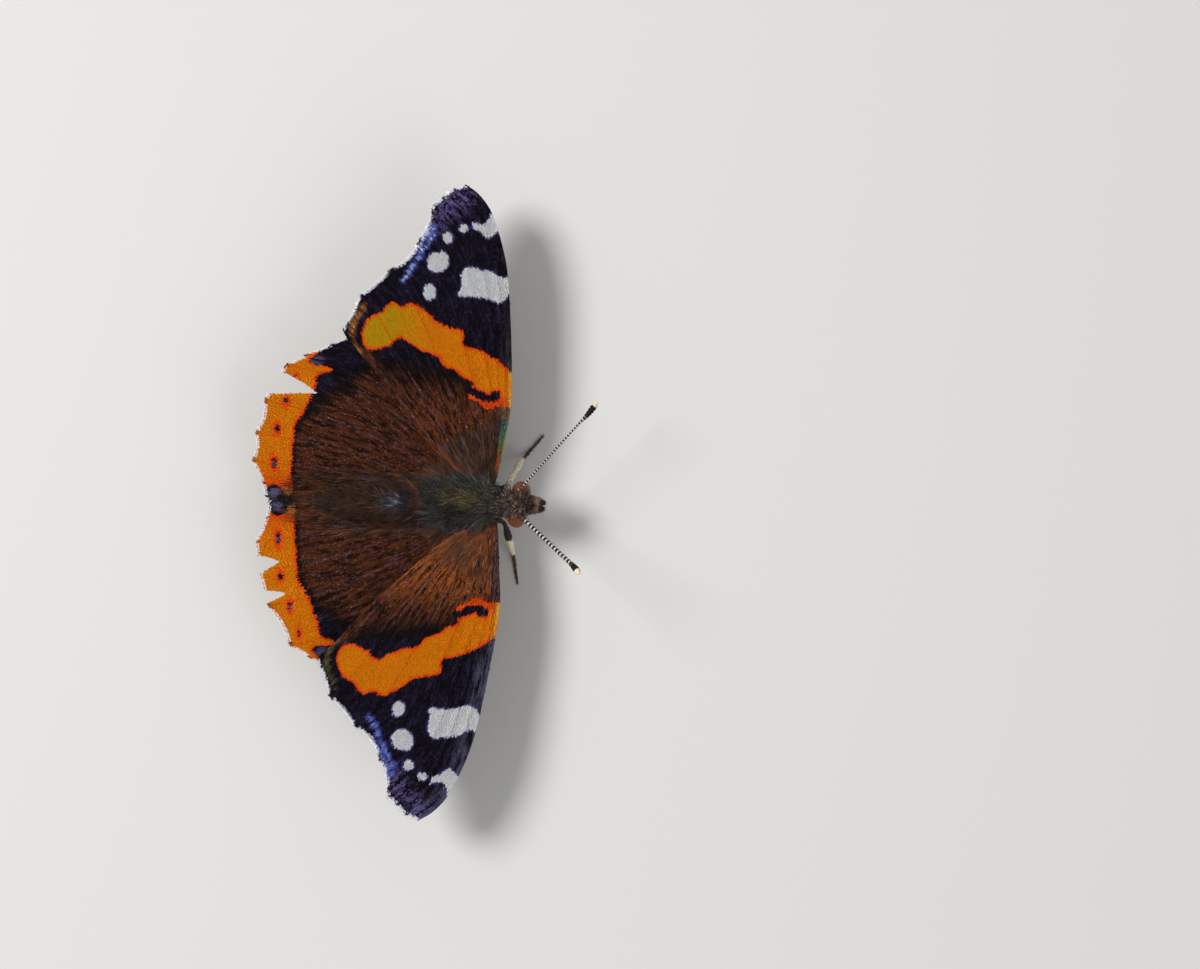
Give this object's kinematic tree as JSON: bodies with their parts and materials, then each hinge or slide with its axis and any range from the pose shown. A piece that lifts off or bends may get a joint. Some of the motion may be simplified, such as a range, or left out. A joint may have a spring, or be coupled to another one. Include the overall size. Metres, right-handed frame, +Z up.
{
  "type": "red admiral butterfly",
  "caption": "Life-size butterfly resting on its feet with its patterned wings spread almost flat, feelers forward and tongue coiled.",
  "frame": {"origin": "centre of the bounding box's base, on the floor that the feet stand on", "axes": "+X towards the butterfly's left wing tips, -Y towards the head, +Z up"},
  "size_m": [0.0636, 0.0348, 0.0159],
  "materials": {
    "body_hair": "dense olive grey hair, matt",
    "abdomen_hair": "short brown hair and scales, faint bluish sheen on top",
    "eye": "brown compound eye, glossy, fine facets",
    "palp_scales": "pinkish grey scales above, dark brown below",
    "feeler": "black with fine white rings, black club, cream tip",
    "tongue": "dark brown coiled tongue",
    "leg_scales": "cream scales on the shins, brown feet",
    "forewing_scales": "velvet black and brown scales, orange band, white marks, blue edge streaks",
    "hindwing_scales": "brown scales, orange edge band with black dots, small blue corner spot"
  },
  "bodies": {
    "root": {"head": "body_hair", "eye_left": "eye", "eye_right": "eye", "palp_left": "palp_scales", "palp_right": "palp_scales", "antenna_left": "feeler", "antenna_right": "feeler", "proboscis": "tongue", "thorax": "body_hair", "abdomen": "abdomen_hair", "forewing_left": "forewing_scales", "forewing_right": "forewing_scales", "hindwing_left": "hindwing_scales", "hindwing_right": "hindwing_scales", "leg_fore_left": "leg_scales", "leg_mid_left": "leg_scales", "leg_hind_left": "leg_scales", "leg_fore_right": "leg_scales", "leg_mid_right": "leg_scales", "leg_hind_right": "leg_scales"}
  },
  "joints": []
}
